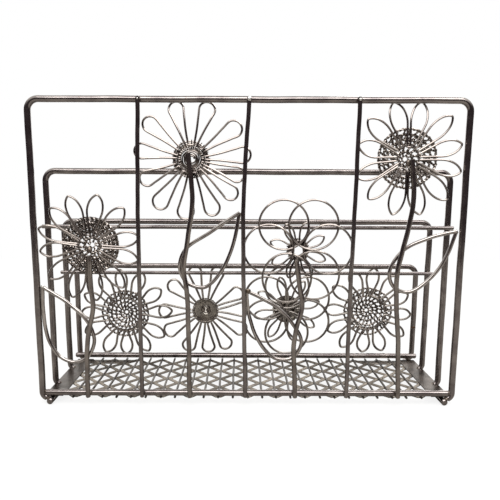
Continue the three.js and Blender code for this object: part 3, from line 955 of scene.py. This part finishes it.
def build_rust_spot():
    """A rusty patch low on the short panel's right post."""
    parts = Parts()
    bead(parts, (HALF - FRAME_R, BACK, 36), (FRAME_R + 0.12, FRAME_R + 0.12, 2.6), 2.2)
    parts.make("rust_spot", [RUSTY])


def build_brassy_welds():
    """Two warm-coloured weld beads on the middle bar, the upper one at a leaf's tip."""
    parts = Parts()
    tip_x, tip_z = LEAVES["leaf_c"][0][0]
    bead(parts, (tip_x + 1, FACE - 0.6, tip_z), (2.2, 1.4, 1.8), 3.3)
    bar_x, _ = BARS["bar_2"][2]
    bead(parts, (bar_x + 1, FACE - 0.5, 58), (1.6, 1.1, 2.4), 5.1)
    parts.make("brassy_welds", [BRASSY])


# ---- floor, light and camera -----------------------------------------------------------------------

def floor_coat():
    """A pale matt surface with a faint unevenness, dimmer where the metal mirrors it. Most of what the camera
    sees of it glows white, so that its shadows are faint."""
    material = bpy.data.materials.new("floor_white")
    shading = Shading(material)
    shader = shading.nodes["Principled BSDF"]
    shader.inputs["Roughness"].default_value = 0.9
    shader.inputs["Specular IOR Level"].default_value = 0.1
    seen = shading.camera_ray()
    pale = shading.mix(seen, (0.37, 0.354, 0.33), (0.95, 0.95, 0.945))
    texture = shading.nodes.new("ShaderNodeTexNoise")
    texture.inputs["Scale"].default_value = 3
    uneven = shading.mix(0.02, pale, texture.outputs["Color"], "MULTIPLY")
    shading.links.new(uneven, shader.inputs["Base Color"])
    glow = shading.nodes.new("ShaderNodeEmission")
    glow.inputs["Color"].default_value = (1, 1, 0.998, 1)
    share = shading.times(seen, 0.85)
    shading.finish(share, shader.outputs["BSDF"], glow.outputs["Emission"], "Material Output")
    return material


def build_floor():
    """A plain pale rectangle just under the runners."""
    mesh = bpy.data.meshes.new("floor")
    wide, deep = 1.1, 0.8
    outline = [(-wide, -deep, 0), (wide, -deep, 0), (wide, deep, 0), (-wide, deep, 0)]
    mesh.from_pydata(outline, [], [(0, 1, 2, 3)])
    mesh.materials.append(floor_coat())
    floor = bpy.data.objects.new("floor", mesh)
    floor.location.z = -0.0002
    bpy.context.scene.collection.objects.link(floor)


def build_world():
    """A white surround as the camera sees it. The metal mirrors a dim room with a bright band high up, which
    is darker straight overhead, and a bright backdrop behind the short panel."""
    world = bpy.data.worlds.new("studio")
    bpy.context.scene.world = world
    shading = Shading(world)
    room = shading.nodes["Background"]
    seen = shading.nodes.new("ShaderNodeBackground")
    seen.inputs["Color"].default_value = (1, 1, 1, 1)
    seen.inputs["Strength"].default_value = 1.0
    direction = shading.nodes.new("ShaderNodeTexCoord").outputs["Generated"]
    axes = shading.nodes.new("ShaderNodeSeparateXYZ")
    shading.links.new(direction, axes.inputs["Vector"])
    high_up = shading.ramp(axes.outputs["Z"], 0.25, 0.7, eased=True)
    not_overhead = shading.ramp(axes.outputs["Z"], 0.86, 0.98, 1.0, 0.2, eased=True)
    behind = shading.ramp(axes.outputs["Y"], 0.6, 0.9, eased=True)
    dim_and_band = shading.mix(shading.times(high_up, not_overhead), (0.09, 0.072, 0.08), (1.35, 1.33, 1.28))
    shading.links.new(shading.mix(behind, dim_and_band, (1.5, 1.5, 1.48)), room.inputs["Color"])
    looks = (room.outputs["Background"], seen.outputs["Background"])
    shading.finish(shading.camera_ray(), *looks, "World Output")


def area_light(name, place, target, size, power):
    """A rectangular soft light that shines from a place towards a target, in metres and watts."""
    light = bpy.data.lights.new(name, "AREA")
    light.shape = "RECTANGLE"
    light.size, light.size_y = size
    light.energy = power
    lamp = bpy.data.objects.new(name, light)
    lamp.location = place
    lamp.rotation_euler = (Vector(target) - Vector(place)).to_track_quat("-Z", "Y").to_euler()
    bpy.context.scene.collection.objects.link(lamp)


def build_camera():
    """The camera stands in front of the tall panel, a little above its middle, and looks slightly down."""
    place = Vector((-6.1, FRONT - 409.5, 165.8))
    yaw = math.radians(0.12)
    pitch = math.radians(9.18)
    roll = math.radians(0.23)
    forward = Vector((math.sin(yaw) * math.cos(pitch), math.cos(yaw) * math.cos(pitch), -math.sin(pitch)))
    level = Vector((math.cos(yaw), -math.sin(yaw), 0))
    upright = level.cross(forward)
    right = math.cos(roll) * level + math.sin(roll) * upright
    up = -math.sin(roll) * level + math.cos(roll) * upright
    data = bpy.data.cameras.new("camera")
    data.sensor_width = 36
    data.lens = 40.07
    data.shift_x = 0.018
    data.shift_y = 0.054
    camera = bpy.data.objects.new("camera", data)
    pose = Matrix((right, up, -forward)).transposed().to_4x4()
    pose.translation = place * MM
    camera.matrix_world = pose
    bpy.context.scene.collection.objects.link(camera)
    bpy.context.scene.camera = camera


# ---- the whole scene -------------------------------------------------------------------------------

def build_rack():
    """Every piece of the object. The hubs and the base draw random numbers, so their order matters."""
    for name in HOOPS:
        build_hoop(name)
    for name in ("front_rail", "rear_rail", "crossbar_2", "crossbar_3"):
        build_rod(name, axis=0, amount=0.06)
    for name in ("runner_left", "runner_right"):
        build_rod(name, axis=1, amount=0)
    for name, pairs in BARS.items():
        build_bar(name, pairs)
    for seed, (name, pairs) in enumerate(STEMS.items()):
        build_stem(name, pairs, seed)
    for seed, (name, (upper, lower)) in enumerate(LEAVES.items()):
        build_leaf(name, upper, lower, seed)
    for letter, flower in ROUND_FLOWERS.items():
        build_round_flower(letter, flower)
    for letter, flower in RING_FLOWERS.items():
        build_ring_flower(letter, flower)
    for letter, hub in WOVEN_HUBS.items():
        build_woven_hub(letter, hub["thread"], hub["bands"])
    build_coil_hub("b")
    build_ring_hub("c")
    for letter, (profile, rings) in CUPS.items():
        build_cup(letter, profile, rings)
    build_margins()
    build_base_wires()
    build_sheet()
    build_frame_welds()
    build_ground_ends()
    build_rust_spot()
    build_brassy_welds()


build_rack()
build_floor()
build_world()
area_light("front_softbox", place=(0.1, -0.8, 1.15), target=(0, 0, 0.1), size=(1.4, 0.8), power=16)
area_light("rear_softbox", place=(0.6, 1.3, 1.2), target=(0, 0, 0.05), size=(0.6, 0.5), power=5)
build_camera()
bpy.context.scene.view_settings.view_transform = "Standard"
